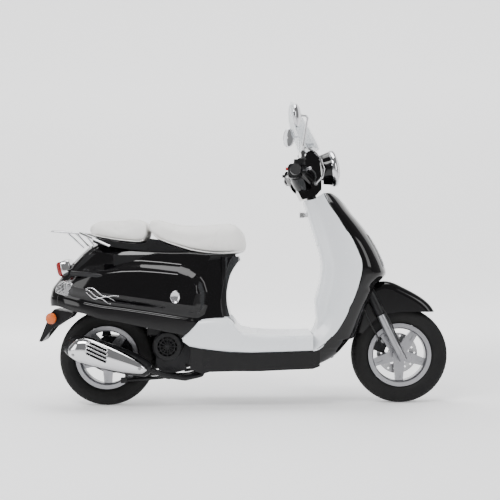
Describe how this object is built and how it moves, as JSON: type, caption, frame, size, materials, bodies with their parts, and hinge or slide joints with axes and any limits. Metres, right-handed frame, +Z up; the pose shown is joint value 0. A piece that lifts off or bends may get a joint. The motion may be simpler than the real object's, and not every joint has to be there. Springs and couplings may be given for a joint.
{
  "type": "moped scooter",
  "caption": "Retro step-through moped scooter with enclosed bodywork, split cushioned seat, rear rack, front disc brake and a small windscreen.",
  "frame": {"origin": "on the ground under the centre of the bounding box, half way from the front of the front tyre to the tip of the mud flap", "axes": "+X forwards, +Y to the rider's left, +Z up"},
  "size_m": [1.835, 0.8331, 1.36],
  "materials": {
    "white_gloss": "gloss",
    "black_cover": "gloss",
    "black_satin": "satin",
    "white_vinyl": "satin vinyl",
    "silver_paint": "silver paint",
    "cast_alloy": "dark cast",
    "chrome": "polished",
    "steel": "brushed",
    "dark_steel": "satin black",
    "tyre": "rubber",
    "rubber": "matte",
    "red_lens": "moulded lens",
    "clear_lens": "clear",
    "amber_lens": "faceted",
    "clear_screen": "clear",
    "silver_trim": "chromed plastic",
    "key_metal": "nickel",
    "red_button": "satin"
  },
  "bodies": {
    "chassis": {"frame": "dark_steel", "leg_shield_outer": "black_cover", "leg_shield_inner": "white_gloss", "floor_board": "white_gloss", "belly_pan": "black_satin", "body_right": "black_cover", "body_left": "black_cover", "front_panel": "black_cover", "tail_panel": "black_cover", "tail_lamp": "red_lens", "rear_indicators": "amber_lens", "rear_mudflap": "black_satin", "luggage_rack": "chrome", "helmet_box": "black_satin", "fuel_tank": "dark_steel", "battery": "black_satin", "front_indicators": "amber_lens", "horn_cover": "silver_trim"},
    "engine_unit": {"crankcase": "cast_alloy", "cylinder": "cast_alloy", "fan_cover": "black_satin", "cvt_cover": "cast_alloy", "exhaust": "dark_steel", "heat_shield": "chrome"},
    "rear_wheel": {"rear_tyre": "tyre", "rear_rim": "silver_paint"},
    "fan": {"cooling_fan": "black_satin"},
    "kick_starter": {"kick_lever": "steel"},
    "shock_upper": {"shock_rod": "steel", "shock_spring": "dark_steel"},
    "shock_lower": {"shock_body": "steel"},
    "centre_stand": {"centre_stand": "dark_steel"},
    "side_stand": {"side_stand": "dark_steel"},
    "seat": {"rider_seat": "white_vinyl", "passenger_seat": "white_vinyl", "seat_base": "black_satin"},
    "steering": {"handlebar": "dark_steel", "headset_cover": "black_cover", "headlight_bucket": "black_cover", "headlight_lens": "clear_lens", "windshield": "clear_screen", "windshield_bracket": "chrome", "fork_stem": "dark_steel", "control_housings": "black_satin", "left_grip": "rubber", "front_mudguard": "black_cover"},
    "throttle": {"throttle_grip": "rubber"},
    "fork": {"fork_sliders": "silver_paint", "brake_caliper": "cast_alloy"},
    "front_wheel": {"front_tyre": "tyre", "front_rim": "silver_paint", "brake_disc": "steel"},
    "lever_right": {"brake_lever_right": "silver_paint"},
    "lever_left": {"brake_lever_left": "silver_paint"},
    "mirror_right": {"mirror_right": "chrome"},
    "mirror_left": {"mirror_left": "chrome"},
    "starter": {"starter_button": "red_button"},
    "horn": {"horn_button": "black_satin"},
    "glovebox": {"glovebox_door": "white_gloss"},
    "key": {"ignition_key": "key_metal"}
  },
  "joints": [
    {"name": "steering", "type": "hinge", "parent": "chassis", "child": "steering", "pos_m": [0.44906, 0, 0.64918], "axis": [-0.4384, 0, 0.8988], "range_deg": [-34, 34]},
    {"name": "fork_travel", "type": "slide", "parent": "steering", "child": "fork", "axis": [-0.4384, 0, 0.8988], "range_m": [-0.015, 0.055], "stiffness_N_per_m": 9000, "springref_m": -0.04},
    {"name": "front_wheel", "type": "hinge", "parent": "fork", "child": "front_wheel", "pos_m": [0.7015, 0, 0.216], "axis": [0, 1, 0], "continuous": true},
    {"name": "rear_suspension", "type": "hinge", "parent": "chassis", "child": "engine_unit", "pos_m": [-0.256, 0, 0.189], "axis": [0, 1, 0], "range_deg": [-2, 5], "stiffness_Nm_per_rad": 1500, "springref_deg": -5.73},
    {"name": "rear_wheel", "type": "hinge", "parent": "engine_unit", "child": "rear_wheel", "pos_m": [-0.6185, 0, 0.216], "axis": [0, 1, 0], "continuous": true},
    {"name": "cooling_fan", "type": "hinge", "parent": "engine_unit", "child": "fan", "pos_m": [-0.334, -0.13, 0.277], "axis": [0, 1, 0], "continuous": true},
    {"name": "kick_starter", "type": "hinge", "parent": "engine_unit", "child": "kick_starter", "pos_m": [-0.392, 0.16, 0.196], "axis": [0, -1, 0], "range_deg": [0, 55], "stiffness_Nm_per_rad": 3, "springref_deg": -28.65},
    {"name": "shock_swing", "type": "hinge", "parent": "chassis", "child": "shock_upper", "pos_m": [-0.64, 0.116, 0.59], "axis": [0, 1, 0], "range_deg": [-3.4, 1.6]},
    {"name": "shock_slide", "type": "slide", "parent": "shock_upper", "child": "shock_lower", "axis": [0, 0, 1], "range_m": [-0.0145, 0.0345], "deforming": ["shock_spring"]},
    {"name": "centre_stand", "type": "hinge", "parent": "engine_unit", "child": "centre_stand", "pos_m": [-0.338, 0, 0.132], "axis": [0, -1, 0], "range_deg": [0, 72], "stiffness_Nm_per_rad": 6, "springref_deg": -34.38},
    {"name": "side_stand", "type": "hinge", "parent": "chassis", "child": "side_stand", "pos_m": [-0.096, 0.132, 0.196], "axis": [0, -1, 0], "range_deg": [0, 70], "stiffness_Nm_per_rad": 4, "springref_deg": -34.38},
    {"name": "seat", "type": "hinge", "parent": "chassis", "child": "seat", "pos_m": [-0.034, 0, 0.655], "axis": [0, 1, 0], "range_deg": [0, 70]},
    {"name": "throttle", "type": "hinge", "parent": "steering", "child": "throttle", "pos_m": [0.224, -0.28, 1.031], "axis": [0, -1, 0], "range_deg": [0, 75], "stiffness_Nm_per_rad": 0.25, "springref_deg": -11.46},
    {"name": "brake_lever_right", "type": "hinge", "parent": "steering", "child": "lever_right", "pos_m": [0.27, -0.196, 1.039], "axis": [0, 0, -1], "range_deg": [0, 11], "stiffness_Nm_per_rad": 4, "springref_deg": -8.59},
    {"name": "brake_lever_left", "type": "hinge", "parent": "steering", "child": "lever_left", "pos_m": [0.27, 0.196, 1.039], "axis": [0, 0, 1], "range_deg": [0, 11], "stiffness_Nm_per_rad": 4, "springref_deg": -8.59},
    {"name": "mirror_right", "type": "hinge", "parent": "steering", "child": "mirror_right", "pos_m": [0.264, -0.198, 1.1], "axis": [0, 0, 1], "range_deg": [-25, 25]},
    {"name": "mirror_left", "type": "hinge", "parent": "steering", "child": "mirror_left", "pos_m": [0.264, 0.198, 1.1], "axis": [0, 0, 1], "range_deg": [-25, 25]},
    {"name": "starter_button", "type": "slide", "parent": "steering", "child": "starter", "axis": [1, 0, 0], "range_m": [0, 0.003], "stiffness_N_per_m": 300, "springref_m": -0.002},
    {"name": "horn_button", "type": "slide", "parent": "steering", "child": "horn", "axis": [1, 0, 0], "range_m": [0, 0.003], "stiffness_N_per_m": 300, "springref_m": -0.002},
    {"name": "glovebox_door", "type": "hinge", "parent": "chassis", "child": "glovebox", "pos_m": [0.346, 0, 0.515], "axis": [0, -1, 0], "range_deg": [0, 70]},
    {"name": "ignition_key", "type": "hinge", "parent": "chassis", "child": "key", "pos_m": [0.29, 0.024, 0.852], "axis": [1, 0, 0], "range_deg": [0, 90]}
  ],
  "couplings": [
    {"joint": "shock_swing", "follows": "rear_suspension", "ratio": -0.6},
    {"joint": "shock_slide", "follows": "rear_suspension", "m_per_rad": 0.378}
  ]
}
